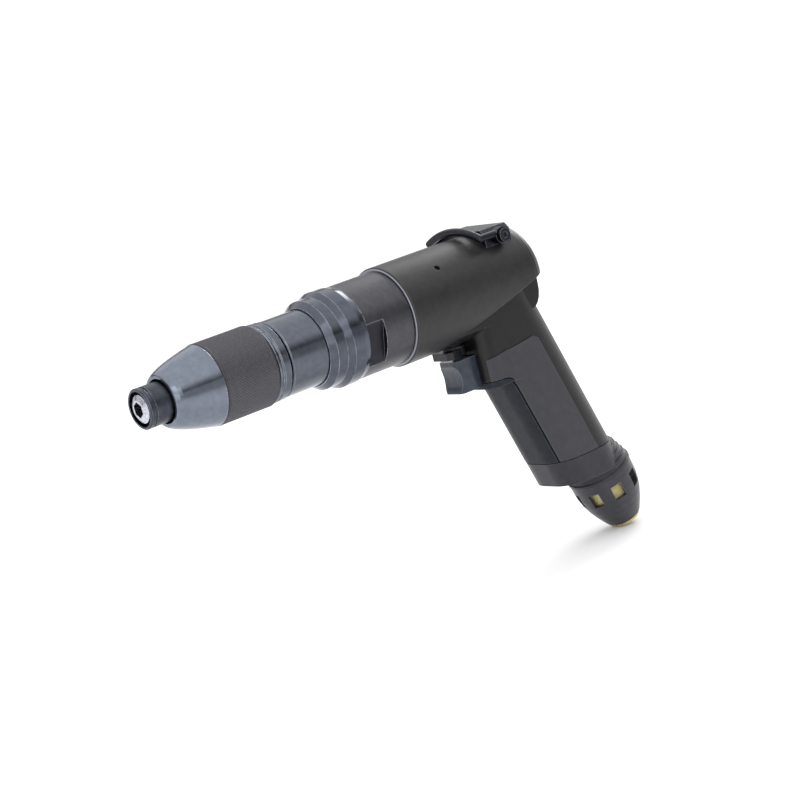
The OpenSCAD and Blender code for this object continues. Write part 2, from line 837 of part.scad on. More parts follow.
// Air motor
module rotor() {
    slot_root = rotor_r * vane_root_share;
    color([0.6, 0.6, 0.62]) difference() {
        union() {
            outer_gear(in_gear_x, plate_x - in_gear_x, sun_teeth, 0);
            rod_x(plate_x, rotor_x - plate_x, shaft_r);
            rod_x(rotor_x, rotor_len, rotor_r);
            rod_x(rotor_end, rear_plate_end - rotor_end, shaft_r);
        }
        rod_x(in_gear_x - over, rear_plate_end, rod_bore_r);
        around_x(vane_n) translate([rotor_x - over, -vane_t / 2 - fit, slot_root])
            cube([rotor_len + 2 * over, vane_t + 2 * fit, rotor_r]);
    }
}
module vanes() {
    root = rotor_r * vane_root_share + fit;
    color([0.45, 0.3, 0.2]) around_x(vane_n) translate([rotor_x, -vane_t / 2, root])
        cube([rotor_len, vane_t, rotor_r - root - fit]);
}
module cylinder_liner() {
    port_w = 3;
    port_n = 3;
    pitch = rotor_len / (port_n + 1);
    color([0.56, 0.56, 0.6]) difference() {
        rod_x(liner_x, liner_end - liner_x, end_plate_r);
        translate([0, 0, eccentricity]) rod_x(liner_x - over, rotor_len + 3 * over, liner_bore_d / 2);
        for (side = [-1, 1], i = [1 : port_n]) translate([liner_x + i * pitch, 0, 0])
            rotate([side * 90, 0, 0]) cylinder(h = end_plate_r + over, r = port_w / 2);
    }
}
module end_plate(x, pocket_x) {
    difference() {
        tube_x(x, end_plate_w, end_plate_r, shaft_r + gap);
        rod_x(pocket_x, end_bearing_w + over, end_bearing_r + seat_fit);
    }
}
module front_end_plate() {
    color([0.52, 0.52, 0.55]) end_plate(plate_x, plate_x - over);
}
module rear_end_plate() {
    color([0.52, 0.52, 0.55]) end_plate(liner_end, rear_plate_end - end_bearing_w);
}
module rotor_bearings() {
    color([0.66, 0.66, 0.68]) for (x = [plate_x, rear_plate_end - end_bearing_w])
        tube_x(x, end_bearing_w, end_bearing_r, shaft_r + fit);
}

// Shut-off valve
module push_rod() {
    start = pin_x + pin_r + 2 * fit;
    color([0.8, 0.8, 0.84]) rod_x(start, valve_x - start, rod_r);
}
module shutoff_valve() {
    color([0.7, 0.6, 0.38]) turned([
        [valve_x, 0],
        [valve_x, valve_r - bevel],
        [valve_x + bevel, valve_r],
        [valve_x + valve_w, valve_r],
        [valve_x + valve_w, 0]
    ]);
}
module shutoff_seat() {
    color([0.7, 0.6, 0.38]) tube_x(seat_x, seat_w, chamber_r - fit, seat_bore_r);
}
module shutoff_spring() {
    turns = 5;
    color([0.6, 0.6, 0.62])
        coil_x(valve_spring_x + fit, valve_spring_len - 2 * fit, valve_r - bevel, valve_wire_d, turns);
}

// Housing
module handle_section(grow = 0) {
    front_grow = handle_corner + grow;
    for (side = [-1, 1]) translate([front_u, side * side_v]) circle(r = front_grow);
    translate([back_u, 0]) circle(r = handle_r + grow);
    translate([front_u, -handle_r - grow]) square([back_u - front_u, handle_w + 2 * grow]);
    translate([-handle_depth / 2 - grow, -side_v]) square([handle_corner + grow, 2 * side_v]);
}
module handle_prism(grow = 0) {
    length = 2 * parting_drop;
    handle_frame() translate([0, 0, -length]) linear_extrude(length) handle_section(grow);
}
module shell() {
    steps = 5;
    front_r = shell_r - front_chamfer;
    difference() {
        turned(concat(
            [
                [housing_x, 0],
                [housing_x, front_r],
                [housing_x + front_chamfer, shell_r]
            ],
            [for (i = [0 : steps])
                let (a = 90 * i / steps)
                [rear_x - rear_round * (1 - sin(a)), shell_r - rear_round * (1 - cos(a))]],
            [[rear_x, 0]]
        ));
        // Flat flanks of the neck, up to a crease square to the handle
        for (side = [0, 1]) mirror([0, side, 0]) handle_frame()
            translate([-2 * shell_d, web_w / 2 + neck_step, -crease_drop - shell_d])
            cube([4 * shell_d, shell_d, shell_d]);
    }
}
module web(grow = 0) {
    depth = handle_x - web_x;
    translate([0, 0, -web_depth]) linear_extrude(web_depth) {
        for (side = [-1, 1]) translate([web_x + web_corner, side * (web_w / 2 - web_corner)])
            circle(r = web_corner + grow);
        translate([web_x + web_corner, -web_w / 2 - grow]) square([depth - web_corner, web_w + 2 * grow]);
        translate([web_x - grow, web_corner - web_w / 2]) square([web_corner + grow, web_w - 2 * web_corner]);
    }
}
// Form given by its side view as [station, height], across the whole tool
module side_view(points) {
    translate([0, shell_d, 0]) rotate([90, 0, 0]) linear_extrude(2 * shell_d) polygon(points);
}
// Line of the groove over the front grip, from the web round the bend to the handle
function grip_line(play) =
    let (
        steps = 5,
        corner = [handle_x + (play - grip_u) / cos(rake) + (grip_drop - play) * tan(rake), play - grip_drop],
        ahead = corner - [grip_bend, 0],
        after = corner + grip_bend * grip_down
    )
    [
        for (i = [0 : steps])
            let (t = i / steps, q = 1 - t)
            q * q * ahead + 2 * t * q * corner + t * t * after
    ];
module front_grip_space(play) {
    line = grip_line(play);
    end = line[len(line) - 1] + 2 * parting_drop * grip_down;
    front_x = web_x - handle_depth;
    side_view(concat([[front_x, play - grip_drop]], line, [end, [front_x, end[1]]]));
}
// Room of both side panels, with play round their edges and a given lower line
module panel_space(play, line_play, grow) {
    line = grip_line(line_play);
    length = 2 * parting_drop;
    edge = handle_r - panel_t - play;
    front = [web_x + clear - play, play - panel_top - panel_fall];
    corner = [handle_x + (panel_rear + play) / cos(rake) + panel_top * tan(rake), play - panel_top];
    top = (front - corner) / norm(front - corner);
    intersection() {
        union() {
            handle_prism(grow);
            web(grow);
        }
        side_view(concat(
            [front, corner + panel_corner * top, corner + panel_corner * grip_down],
            [corner + length * grip_down, line[len(line) - 1] + length * grip_down],
            [for (i = [len(line) - 1 : -1 : 0]) line[i]],
            [[front[0], line[0][1]]]
        ));
        for (side = [0, 1]) mirror([0, side, 0])
            translate([web_x - handle_depth, edge, -length - handle_depth])
            cube([4 * handle_depth, handle_r, length + handle_depth]);
    }
}
module trigger_space() {
    height = trigger_h + 2 * gap;
    width = trigger_w + 2 * gap;
    translate([web_x - over, -width / 2, -trigger_depth - height / 2])
        cube([pocket_x + over - web_x, width, height]);
}
module pistol_housing() {
    color([0.24, 0.24, 0.26]) difference() {
        union() {
            shell();
            web();
            handle_prism();
        }
        below(parting_drop);
        rod_x(housing_x - over, casing_tail_end + gap + over - housing_x, casing_tail_r + fit);
        rod_x(housing_x, chamber_end - housing_x, chamber_r);
        rod_x(rear_x - cover_t, 2 * cover_t, cover_r + fit);
        trigger_space();
        translate([0, 0, -trigger_depth]) {
            rod_x(pocket_x - over, throttle_end + over - pocket_x, throttle_r);
            rod_x(pocket_x, inlet_x - pocket_x, channel_r - clear);
        }
        inlet_frame() translate([0, 0, trigger_depth / cos(rake)])
            cylinder(h = boss_top, r = channel_r);
        translate([lever_x, 0, -shell_r - over])
            cylinder(h = shell_r + over - plug_top + gap, r = plug_r + fit);
        front_grip_space(groove_w);
        panel_space(fit, 0, over);
        rotate([-side_hole_turn, 0, 0]) translate([housing_x + side_hole_x, -shell_r, 0]) rotate([90, 0, 0])
            translate([0, 0, -side_hole_depth]) cylinder(h = 2 * side_hole_depth, r = side_hole_r);
    }
}
module rear_cover() {
    hole_ring_r = cover_r * cover_hole_share;
    color([0.2, 0.2, 0.22]) difference() {
        turned([
            [rear_x - cover_t + fit, 0],
            [rear_x - cover_t + fit, cover_r],
            [rear_x + cover_rise - bevel, cover_r],
            [rear_x + cover_rise, cover_r - bevel],
            [rear_x + cover_rise, 0]
        ]);
        for (side = [-1, 1]) translate([0, side * hole_ring_r, 0])
            rod_x(rear_x - cover_t / 2, cover_t, cover_hole_r);
    }
}
module front_grip() {
    color([0.22, 0.22, 0.24]) difference() {
        intersection() {
            union() {
                handle_prism();
                web();
            }
            front_grip_space(0);
        }
        below(parting_drop);
        trigger_space();
    }
}
module grip_panel(side) {
    color([0.34, 0.34, 0.36]) difference() {
        panel_space(0, groove_w, panel_rise);
        below(parting_drop);
        translate([web_x - over, side > 0 ? -shell_d : 0, -2 * parting_drop])
            cube([4 * handle_depth, shell_d, 2 * parting_drop]);
    }
}
module grip_panel_left() { grip_panel(-1); }
module grip_panel_right() { grip_panel(1); }

// Trigger, throttle and reverse lever
module trigger_button() {
    flat = trigger_w - 2 * trigger_corner;
    hollow_z = -trigger_depth - trigger_h * trigger_hollow_share;
    color([0.26, 0.28, 0.32]) difference() {
        translate([trigger_x, 0, -trigger_depth - trigger_h / 2]) linear_extrude(trigger_h) {
            for (side = [-1, 1]) translate([trigger_corner, side * flat / 2]) circle(r = trigger_corner);
            translate([trigger_corner, -trigger_w / 2]) square([trigger_len - trigger_corner, trigger_w]);
            translate([0, -flat / 2]) square([trigger_corner, flat]);
        }
        translate([trigger_x + trigger_hollow - trigger_hollow_r, trigger_w, hollow_z])
            rotate([90, 0, 0]) cylinder(h = 2 * trigger_w, r = trigger_hollow_r);
        translate([0, 0, -trigger_depth])
            rod_x(trigger_x + trigger_len - rod_root, 2 * rod_root, trigger_rod_r + seat_fit);
    }
}
module trigger_rod() {
    start = trigger_x + trigger_len - rod_root;
    color([0.75, 0.76, 0.8]) translate([0, 0, -trigger_depth])
        rod_x(start, throttle_x - gap - start, trigger_rod_r);
}
module valve_seat() {
    guide_w = throttle_seat_w * throttle_guide_share;
    color([0.7, 0.6, 0.38]) translate([0, 0, -trigger_depth]) difference() {
        tube_x(pocket_x, throttle_seat_w, throttle_r - fit, trigger_rod_r + fit);
        rod_x(pocket_x + guide_w, throttle_seat_w, throttle_valve_r - clear);
    }
}
module throttle_valve() {
    color([0.7, 0.6, 0.38]) translate([0, 0, -trigger_depth])
        turned([
            [throttle_x, 0],
            [throttle_x, throttle_valve_r - bevel],
            [throttle_x + bevel, throttle_valve_r],
            [throttle_x + throttle_valve_w, throttle_valve_r],
            [throttle_x + throttle_valve_w, 0]
        ]);
}
module trigger_spring() {
    turns = 5;
    length = throttle_spring_len - 2 * fit;
    color([0.6, 0.6, 0.62]) translate([0, 0, -trigger_depth])
        coil_x(throttle_spring_x + fit, length, throttle_valve_r, throttle_wire_d, turns);
}
module reverse_lever() {
    nose_x = -lever_reach;
    front = lever_w / 2;
    tab_t = lever_t - lever_step;
    color([0.08, 0.09, 0.12]) translate([lever_x, 0, lever_z]) difference() {
        union() {
            cylinder(h = lever_t, r = lever_hub_r);
            linear_extrude(tab_t) polygon([
                [0, -lever_hub_r],
                [nose_x + lever_corner, -front],
                [nose_x, -front * lever_nose_share],
                [nose_x, front * lever_nose_share],
                [nose_x + lever_corner, front],
                [0, lever_hub_r]
            ]);
        }
        translate([0, 0, lever_t / 2]) cylinder(h = lever_t, r = plug_r + fit);
    }
}
module reverse_valve() {
    bottom = lever_z + lever_t / 2;
    top = -plug_top;
    color([0.7, 0.6, 0.38]) difference() {
        translate([lever_x, 0, bottom]) cylinder(h = top - bottom, r = plug_r);
        translate([lever_x - plug_r - over, -plug_slot_w / 2, top - plug_r])
            cube([2 * plug_r + 2 * over, plug_slot_w, plug_r + over]);
    }
}

// Base, air inlet and exhaust
module boss() {
    root_r = handle_depth / 2 - inlet_offset + bevel;
    length = boss_end - boss_top;
    pitch = length * rib_share / rib_n;
    ribs = [for (i = [0 : rib_n - 1])
        let (
            z = boss_end - (rib_n - i) * pitch,
            r = root_r + (boss_r - root_r) * (z + pitch - boss_top) / length
        )
        each [[r - groove_depth, z], [r - groove_depth, z + pitch / 2], [r, z + pitch / 2], [r, z + pitch]]
    ];
    root_z = boss_top - length;
    rotate_extrude() polygon(concat([[0, boss_end], [0, root_z], [root_r, root_z]], ribs));
}
module base_collar() {
    color([0.2, 0.2, 0.22]) difference() {
        intersection() {
            union() {
                difference() {
                    handle_prism();
                    below(parting_drop + base_h);
                }
                inlet_frame() boss();
            }
            below(parting_drop + parting_gap);
        }
        inlet_frame() {
            translate([0, 0, bushing_top]) cylinder(h = dome_end, r = bushing_r + seat_fit);
            cylinder(h = bushing_top + over, r = channel_r);
            translate([0, 0, boss_end - silencer_root]) cylinder(h = dome_end, r = silencer_r + 2 * fit);
        }
    }
}
module silencer() {
    color([0.85, 0.75, 0.4]) inlet_frame() translate([0, 0, boss_end - silencer_root + fit]) difference() {
        cylinder(h = silencer_root + silencer_len, r = silencer_r);
        translate([0, 0, -over]) cylinder(h = dome_len + over, r = silencer_r - silencer_t);
    }
}
module inlet_bushing() {
    color([0.72, 0.66, 0.5]) inlet_frame() difference() {
        translate([0, 0, bushing_top + fit])
            cylinder(h = dome_end + bushing_rise - bushing_top, r = bushing_r);
        translate([0, 0, bushing_top]) cylinder(h = dome_len + dome_end, r = channel_r);
        translate([0, 0, dome_end + bushing_rise - inlet_len + fit])
            cylinder(h = inlet_len + over, r = inlet_bore_d / 2);
    }
}
module exhaust_deflector() {
    steps = 6;
    outer = [for (i = [0 : steps])
        let (a = 90 * i / steps, z = dome_land + (dome_len - dome_land - bevel) * pow(i / steps, dome_power))
        [dome_tip_r + (dome_r - dome_tip_r) * cos(a), z]];
    guide_h = 6;
    color([0.2, 0.2, 0.23]) inlet_frame() translate([0, 0, dome_top]) difference() {
        rotate_extrude() polygon(concat(
            [[dome_r - dome_wall, 0], [dome_r, 0]],
            outer,
            [
                [dome_tip_r - bevel, dome_len],
                [bushing_r + fit, dome_len],
                [bushing_r + fit, dome_len - guide_h],
                [silencer_r + gap, silencer_len + clear],
                [dome_r - dome_wall, dome_land]
            ]
        ));
        for (i = [0 : window_n - 1]) rotate([0, 0, (i + 1 / 2) * 360 / window_n])
            translate([silencer_r, -window_w / 2, window_mid - dome_top - window_len / 2])
            cube([dome_r, window_w, window_len]);
    }
}

// Suspension bail
module hanger_bracket() {
    half = bracket_len / 2;
    color([0.34, 0.34, 0.37]) difference() {
        translate([bracket_x - half, 0, 0]) rotate([90, 0, 90]) linear_extrude(bracket_len) polygon([
            [-bracket_r, pivot_z - eye_r],
            [bracket_r, pivot_z - eye_r],
            [bracket_r, bracket_top - bracket_bevel],
            [bracket_r - bracket_bevel, bracket_top],
            [bracket_bevel - bracket_r, bracket_top],
            [-bracket_r, bracket_top - bracket_bevel]
        ]);
        rod_x(bracket_x - bracket_len, 2 * bracket_len, shell_r + seat_fit);
        for (side = [-1, 1]) translate([bracket_x, side * (bracket_r - screw_root - fit), pivot_z])
            rotate([-90 * side, 0, 0]) cylinder(h = bracket_r, r = screw_r + seat_fit);
    }
}
module bail_screws() {
    root = bracket_r - screw_root;
    head_y = leg_y + wire_r + gap;
    color([0.78, 0.78, 0.8]) for (side = [-1, 1])
        translate([bracket_x, 0, pivot_z]) rotate([-90 * side, 0, 0]) difference() {
            union() {
                translate([0, 0, root]) cylinder(h = head_y - root, r = screw_r);
                translate([0, 0, head_y]) cylinder(h = screw_head_t, r = screw_head_r);
            }
            translate([0, 0, head_y + screw_head_t / 2]) cylinder(h = screw_head_t, r = screw_r, $fn = 6);
        }
}
module suspension_bail() {
    color([0.3, 0.3, 0.34]) difference() {
        union() {
            translate([arch_x, 0, leg_z + arch_h - arch_r]) rotate([0, -90, 0]) intersection() {
                rotate_extrude() translate([arch_r, 0]) circle(r = wire_r);
                translate([0, 0, -bail_wire_d]) linear_extrude(2 * bail_wire_d) polygon([
                    [0, 0],
                    polar(2 * arch_r, arch_angle),
                    polar(2 * arch_r, -arch_angle)
                ]);
            }
            for (side = [-1, 1]) {
                translate([arch_x, side * leg_y, leg_z]) sphere(r = wire_r + fit);
                translate([0, side * leg_y, leg_z]) rod_x(arch_x, bail_reach, wire_r);
                translate([bracket_x, side * leg_y + wire_r, pivot_z]) rotate([90, 0, 0])
                    cylinder(h = bail_wire_d, r = eye_r);
            }
        }
        translate([bracket_x, 2 * leg_y, pivot_z]) rotate([90, 0, 0])
            cylinder(h = 4 * leg_y, r = screw_r + fit);
    }
}

nose_cover();
torque_sleeve();
lock_ring();
clutch_case();
gear_case();
ring_gear();
coupling_collar();
motor_casing();
pistol_housing();
rear_cover();
drive_spindle();
chuck_sleeve();
chuck_ring();
chuck_balls();
chuck_spring();
spindle_bearing();
adjusting_nut();
clutch_spring();
thrust_washer();
clutch_cam();
trip_pin();
clutch_balls();
drive_cam();
output_carrier();
carrier_bearing();
output_planet_1();
output_planet_2();
output_planet_3();
input_carrier();
input_planet_1();
input_planet_2();
input_planet_3();
rotor();
vanes();
cylinder_liner();
front_end_plate();
rear_end_plate();
rotor_bearings();
push_rod();
shutoff_valve();
shutoff_seat();
shutoff_spring();
trigger_button();
trigger_rod();
valve_seat();
throttle_valve();
trigger_spring();
reverse_lever();
reverse_valve();
front_grip();
grip_panel_left();
grip_panel_right();
base_collar();
silencer();
inlet_bushing();
exhaust_deflector();
hanger_bracket();
bail_screws();
suspension_bail();
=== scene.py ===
import json
import math

import bpy
from mathutils import Matrix, Vector


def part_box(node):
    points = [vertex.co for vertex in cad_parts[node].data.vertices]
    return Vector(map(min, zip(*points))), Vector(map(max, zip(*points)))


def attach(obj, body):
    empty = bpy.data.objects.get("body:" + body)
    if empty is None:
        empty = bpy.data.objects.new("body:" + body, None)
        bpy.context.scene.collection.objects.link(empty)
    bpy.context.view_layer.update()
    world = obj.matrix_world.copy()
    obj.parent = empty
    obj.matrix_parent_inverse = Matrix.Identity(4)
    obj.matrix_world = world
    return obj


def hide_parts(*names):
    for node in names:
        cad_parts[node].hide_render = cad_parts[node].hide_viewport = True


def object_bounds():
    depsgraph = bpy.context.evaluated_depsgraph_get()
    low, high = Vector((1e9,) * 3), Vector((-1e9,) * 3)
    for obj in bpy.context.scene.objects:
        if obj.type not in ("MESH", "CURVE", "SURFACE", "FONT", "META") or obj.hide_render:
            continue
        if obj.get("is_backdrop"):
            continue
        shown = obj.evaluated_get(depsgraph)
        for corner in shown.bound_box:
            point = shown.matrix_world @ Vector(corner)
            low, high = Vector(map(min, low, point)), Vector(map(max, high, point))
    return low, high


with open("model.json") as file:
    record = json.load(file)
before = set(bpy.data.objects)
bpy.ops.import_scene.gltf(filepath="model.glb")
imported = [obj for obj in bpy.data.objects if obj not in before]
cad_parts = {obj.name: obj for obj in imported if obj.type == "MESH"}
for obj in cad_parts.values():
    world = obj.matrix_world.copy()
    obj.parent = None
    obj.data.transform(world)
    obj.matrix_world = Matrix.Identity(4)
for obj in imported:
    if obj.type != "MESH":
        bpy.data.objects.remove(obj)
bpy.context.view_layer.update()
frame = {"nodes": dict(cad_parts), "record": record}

mm = 0.001
nodes = frame["nodes"]


# Camera, as the photograph was taken; the sensor and the clip end are in mm and metres
cameraView = {
    "place": (-0.4526, -0.8170, 0.1452),
    "right": (0.759, -0.601, -0.250),
    "forward": (0.574, 0.799, -0.180),
    "lens": 99,
    "sensor": 36,
    "clipEnd": 20,
}


def makeCamera(view):
    forward = Vector(view["forward"]).normalized()
    right = Vector(view["right"])
    right = (right - forward * right.dot(forward)).normalized()
    up = right.cross(forward)
    data = bpy.data.cameras.new("photoCamera")
    data.lens = view["lens"]
    data.sensor_width = view["sensor"]
    data.clip_end = view["clipEnd"]
    camera = bpy.data.objects.new("photoCamera", data)
    turn = Matrix((right, up, -forward)).transposed().to_4x4()
    camera.matrix_world = Matrix.Translation(view["place"]) @ turn
    bpy.context.collection.objects.link(camera)
    bpy.context.scene.camera = camera


makeCamera(cameraView)
print("camera placed")


# Colours and shader nodes
def toLinear(hexColour):
    parts = [int(hexColour[i:i + 2], 16) / 255 for i in (1, 3, 5)]
    return [p / 12.92 if p <= 0.04045 else ((p + 0.055) / 1.055) ** 2.4 for p in parts] + [1.0]


def addNode(tree, kind, settings=None, **sockets):
    # adds one node; i0 and i1 name sockets by place, and a socket takes a value or another node's output
    node = tree.nodes.new("ShaderNode" + kind)
    for key, value in (settings or {}).items():
        setattr(node, key, value)
    for key, value in sockets.items():
        byPlace = key[0] == "i" and key[1:].isdigit()
        socket = node.inputs[int(key[1:])] if byPlace else node.inputs[key.replace("_", " ")]
        if isinstance(value, bpy.types.NodeSocket):
            tree.links.new(value, socket)
        else:
            socket.default_value = value
    return node


def newSurface(name, **shaderValues):
    # a material with its Principled shader, its node tree and the object coordinates in metres
    material = bpy.data.materials.new(name)
    material.use_nodes = True
    tree = material.node_tree
    shader = tree.nodes["Principled BSDF"]
    for key, value in shaderValues.items():
        shader.inputs[key.replace("_", " ")].default_value = value
    coords = addNode(tree, "TexCoord").outputs["Object"]
    return material, tree, shader, coords


def cloudedColour(tree, coords, look):
    # a faint cloud over the surface, and the colour that it gives between dark and light
    cloud = addNode(tree, "TexNoise", Vector=coords, Scale=1 / (look["cloudSize"] * mm),
                    Detail=look["cloudDetail"], Roughness=look["cloudRoughness"]).outputs["Fac"]
    low, high = look["cloudSpan"]
    tint = addNode(tree, "MapRange", Value=cloud, From_Min=low, From_Max=high).outputs["Result"]
    colour = addNode(tree, "MixRGB", Fac=tint, Color1=toLinear(look["dark"]),
                     Color2=toLinear(look["light"])).outputs["Color"]
    return cloud, colour


def varyRoughness(tree, shader, pattern, span, roughness):
    # the pattern's values in the span give the shader its lowest to its highest roughness
    rough = addNode(tree, "MapRange", Value=pattern, From_Min=span[0], From_Max=span[1],
                    To_Min=roughness[0], To_Max=roughness[1]).outputs["Result"]
    tree.links.new(rough, shader.inputs["Roughness"])


# Worn edges with a painted highlight: the cosine between the true and the rounded surface, where the pale
# edge colour starts and where it is full
edgeWearAndHighlight = {"cosines": (0.995, 0.9), "samples": 6}


def wearAndHighlightEdges(tree, shader, look, colour, bump, rubAndHighlight=None):
    # rounds the shading of hard edges over their width in mm and lays the pale edge colour on them, part
    # wear and part painted highlight
    radius = look["edgeWidth"] * mm
    samples = {"samples": edgeWearAndHighlight["samples"]}
    rounded = addNode(tree, "Bevel", samples, Radius=radius, Normal=bump).outputs["Normal"]
    tree.links.new(rounded, shader.inputs["Normal"])
    plain = addNode(tree, "Bevel", samples, Radius=radius).outputs["Normal"]
    flat = addNode(tree, "NewGeometry").outputs["Normal"]
    turn = addNode(tree, "VectorMath", {"operation": "DOT_PRODUCT"}, i0=plain, i1=flat).outputs["Value"]
    start, full = edgeWearAndHighlight["cosines"]
    wornAndHighlit = addNode(tree, "MapRange", Value=turn, From_Min=start, From_Max=full).outputs["Result"]
    if rubAndHighlight:
        wornAndHighlit = addNode(tree, "Math", {"operation": "MULTIPLY"}, i0=wornAndHighlit, i1=rubAndHighlight).outputs["Value"]
    # the pale edge colour is part real wear and part painted highlight
    mix = addNode(tree, "MixRGB", Fac=wornAndHighlit, Color1=colour, Color2=toLinear(look["edge"]))
    tree.links.new(mix.outputs["Color"], shader.inputs["Base Color"])


def turnedMetal(name, look):
    # fine rings round the barrel's axis, a faint cloud of colour and rubbed edges with a painted highlight
    material, tree, shader, coords = newSurface(name, Metallic=1.0)
    cloud, colour = cloudedColour(tree, coords, look)
    across = 1 / (look["ringSpacing"] * mm)
    along = 1 / (look["ringLength"] * mm)
    stretched = addNode(tree, "Mapping", Vector=coords, Scale=(across, along, along)).outputs["Vector"]
    rings = addNode(tree, "TexNoise", Vector=stretched, Scale=1.0,
                    Detail=look["ringDetail"]).outputs["Fac"]
    mixed = addNode(tree, "Math", {"operation": "ADD"}, i0=cloud, i1=rings).outputs["Value"]
    varyRoughness(tree, shader, mixed, look["roughSpan"], look["roughness"])
    bump = addNode(tree, "Bump", Height=rings, Distance=look["ringHeight"] * mm,
                   Strength=look["bumpStrength"]).outputs["Normal"]
    # the cloud breaks up the pale edges, which are part wear and part painted highlight
    low, high = look["rubAndHighlightSpan"]
    least, most = look["rubAndHighlight"]
    rubAndHighlight = addNode(tree, "MapRange", Value=cloud, From_Min=low, From_Max=high, To_Min=least,
                  To_Max=most).outputs["Result"]
    wearAndHighlightEdges(tree, shader, look, colour, bump, rubAndHighlight)
    return material


def knurledMetal(name, look):
    # the points of the knurl are rubbed a little brighter than its valleys
    material, tree, shader, coords = newSurface(name, Metallic=look["metallic"])
    cloud = addNode(tree, "TexNoise", Vector=coords, Scale=1 / (look["cloudSize"] * mm),
                    Detail=look["cloudDetail"], Roughness=look["cloudRoughness"]).outputs["Fac"]
    points = addNode(tree, "NewGeometry").outputs["Pointiness"]
    low, high = look["pointSpan"]
    wear = addNode(tree, "MapRange", Value=points, From_Min=low, From_Max=high,
                   To_Max=look["pointWear"]).outputs["Result"]
    low, high = look["cloudSpan"]
    stain = addNode(tree, "MapRange", Value=cloud, From_Min=low, From_Max=high,
                    To_Max=look["cloudStain"]).outputs["Result"]
    mixed = addNode(tree, "Math", {"operation": "ADD"}, i0=wear, i1=stain).outputs["Value"]
    colour = addNode(tree, "MixRGB", Fac=mixed, Color1=toLinear(look["dark"]),
                     Color2=toLinear(look["light"])).outputs["Color"]
    tree.links.new(colour, shader.inputs["Base Color"])
    varyRoughness(tree, shader, cloud, look["cloudSpan"], look["roughness"])
    return material


def grainedSurface(name, look):
    # a fine grain in roughness and height over a faint cloud of colour
    material, tree, shader, coords = newSurface(name, Specular_IOR_Level=look["specular"])
    cloud, colour = cloudedColour(tree, coords, look)
    grain = addNode(tree, "TexNoise", Vector=coords, Scale=1 / (look["grain"] * mm),
                    Detail=look["grainDetail"], Roughness=look["grainRoughness"]).outputs["Fac"]
    varyRoughness(tree, shader, grain, look["grainSpan"], look["roughness"])
    bump = addNode(tree, "Bump", Height=grain, Distance=look["grainHeight"] * mm,
                   Strength=look["bumpStrength"]).outputs["Normal"]
    wearAndHighlightEdges(tree, shader, look, colour, bump)
    return material


def sinteredMetal(name, look):
    # round grains with darker pores between them
    material, tree, shader, coords = newSurface(name, Metallic=look["metallic"],
                                                Roughness=look["roughness"])
    balls = addNode(tree, "TexVoronoi", Vector=coords, Scale=1 / (look["grain"] * mm)).outputs["Distance"]
    low, high = look["poreSpan"]
    pore = addNode(tree, "MapRange", Value=balls, From_Min=low, From_Max=high).outputs["Result"]
    colour = addNode(tree, "MixRGB", Fac=pore, Color1=toLinear(look["light"]),
                     Color2=toLinear(look["dark"])).outputs["Color"]
    tree.links.new(colour, shader.inputs["Base Color"])
    bump = addNode(tree, "Bump", {"invert": True}, Height=balls, Distance=look["grainHeight"] * mm,
                   Strength=look["bumpStrength"]).outputs["Normal"]
    tree.links.new(bump, shader.inputs["Normal"])
    return material


# Sizes and heights are in mm; each span holds the pattern values that give the lowest and the highest result
surfaces = {}

# Lock ring and gear case: steel, turned and burnished, a soft blue-grey sheen in fine rings
burnished = {
    "dark": "#585c65",
    "light": "#61656e",
    # pale edge colour: part wear, part painted highlight
    "edge": "#c3c8d2",
    "edgeWidth": 0.35,
    "roughness": (0.17, 0.22),
    "roughSpan": (0.7, 1.3),
    "ringSpacing": 0.5,  # real turning marks are about 0.1 mm apart, drawn coarser so that they show
    "ringLength": 10,
    "ringHeight": 0.012,
    "ringDetail": 2.0,
    "bumpStrength": 0.5,
    "cloudSize": 2.8,
    "cloudDetail": 2.0,
    "cloudRoughness": 0.45,
    "cloudSpan": (0.3, 0.72),
    "rubAndHighlight": (0.35, 0.9),
    "rubAndHighlightSpan": (0.35, 0.6),
}
surfaces["burnished"] = turnedMetal("burnishedSteel", burnished)

# Nose cover: steel, turned, polished and blued, so light runs along it in long pale bands
polished = dict(burnished, dark="#6e7480", light="#787e8a", roughness=(0.14, 0.19))
surfaces["nose"] = turnedMetal("polishedSteel", polished)

# Coupling collar: steel, turned, polished and blued darker, with its corners rubbed pale and a painted
# highlight on them
blued = dict(burnished, dark="#4e525b", light="#575b65", edge="#d3d8e2", edgeWidth=0.5,
             roughness=(0.15, 0.2))
surfaces["collar"] = turnedMetal("bluedSteel", blued)

# Motor casing: steel, turned and blackened in hot oil, a neutral dull black
blackened = dict(burnished, dark="#4b4b50", light="#525257", roughness=(0.34, 0.39))
surfaces["casing"] = turnedMetal("blackenedSteel", blackened)

# Bail, bracket and screws: steel, bent and phosphated, a dry dark grey
phosphated = dict(burnished, dark="#2c2d33", light="#36373d", edge="#8d909a", roughness=(0.32, 0.42))
surfaces["hanger"] = turnedMetal("phosphatedSteel", phosphated)

# Chuck sleeve: steel, turned and black oxide coated, deep blue-black with bright edges, part wear and part
# painted highlight
blackOxide = dict(burnished, dark="#3d4047", light="#4b4e57", edge="#a3a8b4", roughness=(0.3, 0.42))
surfaces["sleeve"] = turnedMetal("blackOxideSteel", blackOxide)

# Spindle, shafts and balls: steel, hardened and ground, pale, cool and bright
ground = dict(burnished, dark="#a9abb5", light="#d5d7e2", edge="#eceef6", edgeWidth=0.2, cloudSize=1,
              roughness=(0.16, 0.3), ringHeight=0.006)
ground["ringSpacing"] = 0.3  # real grinding marks are about 0.05 mm apart, drawn coarser so that they show
surfaces["bright"] = turnedMetal("groundSteel", ground)

